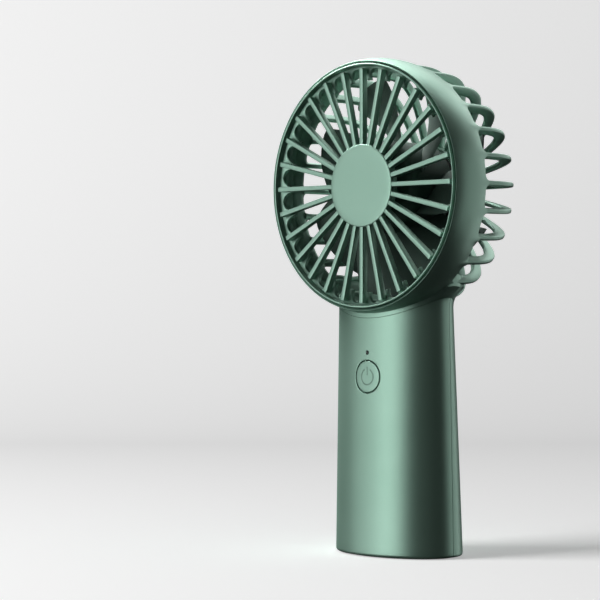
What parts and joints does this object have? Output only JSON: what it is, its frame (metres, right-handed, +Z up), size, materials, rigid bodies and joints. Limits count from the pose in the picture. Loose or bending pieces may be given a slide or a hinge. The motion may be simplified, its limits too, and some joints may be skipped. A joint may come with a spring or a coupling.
{
  "type": "handheld fan",
  "caption": "Battery fan: round head with straight radial front ribs and a looped rear cage, moulded over an oval handle that stands by itself, with a flush power button.",
  "frame": {"origin": "middle of the handle's base, on the surface it stands on", "axes": "+Z up the handle, -Y the way the air leaves, +X to the right of someone facing the front grille"},
  "size_m": [0.1008, 0.0454, 0.196],
  "materials": {
    "housing_plastic": "satin pearl moulding",
    "grille_plastic": "satin pearl moulding",
    "cap_plastic": "satin pearl moulding",
    "handle_front_plastic": "satin pearl moulding",
    "handle_rear_plastic": "satin pearl moulding",
    "button_plastic": "satin pearl moulding",
    "impeller_plastic": "satin moulding",
    "bell_steel": "drawn, plated",
    "magnet_black": "bonded ferrite",
    "shaft_steel": "ground",
    "bush_bronze": "sintered",
    "motor_base_plastic": "moulded",
    "lamination_steel": "stacked sheets",
    "winding_copper": "enamelled wire",
    "motor_board_green": "solder mask",
    "motor_screw_steel": "plated",
    "shell_screw_steel": "blackened",
    "pad_rubber": "matte",
    "plunger_black": "moulded",
    "switch_black": "moulded",
    "control_board_green": "solder mask",
    "board_screw_steel": "plated",
    "led_white": "moulded",
    "pipe_clear": "clear rod",
    "cell_sleeve": "shrunk sleeve over a metal can",
    "tray_plastic": "moulded",
    "port_steel": "folded sheet, plated",
    "tongue_black": "moulded",
    "charge_board_green": "solder mask",
    "motor_lead_plus_sleeve": "insulated wire",
    "motor_lead_minus_sleeve": "insulated wire",
    "battery_lead_plus_sleeve": "insulated wire",
    "battery_lead_minus_sleeve": "insulated wire",
    "charge_lead_plus_sleeve": "insulated wire",
    "charge_lead_minus_sleeve": "insulated wire"
  },
  "bodies": {
    "fan_body": {"head_housing": "housing_plastic", "front_grille": "grille_plastic", "hub_cap": "cap_plastic", "handle_front_shell": "handle_front_plastic", "handle_rear_shell": "handle_rear_plastic", "bearing_front": "bush_bronze", "bearing_rear": "bush_bronze", "motor_base": "motor_base_plastic", "motor_stator": "lamination_steel", "winding_1": "winding_copper", "winding_2": "winding_copper", "winding_3": "winding_copper", "winding_4": "winding_copper", "winding_5": "winding_copper", "winding_6": "winding_copper", "motor_board": "motor_board_green", "motor_screw_1": "motor_screw_steel", "motor_screw_2": "motor_screw_steel", "motor_screw_3": "motor_screw_steel", "shell_screw_1": "shell_screw_steel", "shell_screw_2": "shell_screw_steel", "shell_screw_3": "shell_screw_steel", "shell_screw_4": "shell_screw_steel", "foot_pad": "pad_rubber", "switch_body": "switch_black", "control_board": "control_board_green", "board_screw_1": "board_screw_steel", "board_screw_2": "board_screw_steel", "status_led": "led_white", "light_pipe": "pipe_clear", "battery_cell_left": "cell_sleeve", "battery_cell_right": "cell_sleeve", "battery_tray": "tray_plastic", "port_shell": "port_steel", "port_tongue": "tongue_black", "charge_board": "charge_board_green", "motor_lead_plus": "motor_lead_plus_sleeve", "motor_lead_minus": "motor_lead_minus_sleeve", "battery_lead_plus": "battery_lead_plus_sleeve", "battery_lead_minus": "battery_lead_minus_sleeve", "charge_lead_plus": "charge_lead_plus_sleeve", "charge_lead_minus": "charge_lead_minus_sleeve"},
    "rotor": {"impeller": "impeller_plastic", "rotor_bell": "bell_steel", "rotor_magnet": "magnet_black", "motor_shaft": "shaft_steel"},
    "button": {"power_button": "button_plastic"},
    "plunger": {"switch_plunger": "plunger_black"}
  },
  "joints": [
    {"name": "rotor_spin", "type": "hinge", "parent": "fan_body", "child": "rotor", "pos_m": [0, -0.0224, 0.1456], "axis": [0, -1, 0], "continuous": true},
    {"name": "button_press", "type": "slide", "parent": "fan_body", "child": "button", "axis": [0, 1, 0], "range_m": [0, 0.0004], "stiffness_N_per_m": 1500},
    {"name": "plunger_press", "type": "slide", "parent": "fan_body", "child": "plunger", "axis": [0, 1, 0], "range_m": [0, 0.0004]}
  ],
  "couplings": [
    {"joint": "plunger_press", "follows": "button_press", "ratio": 1}
  ]
}
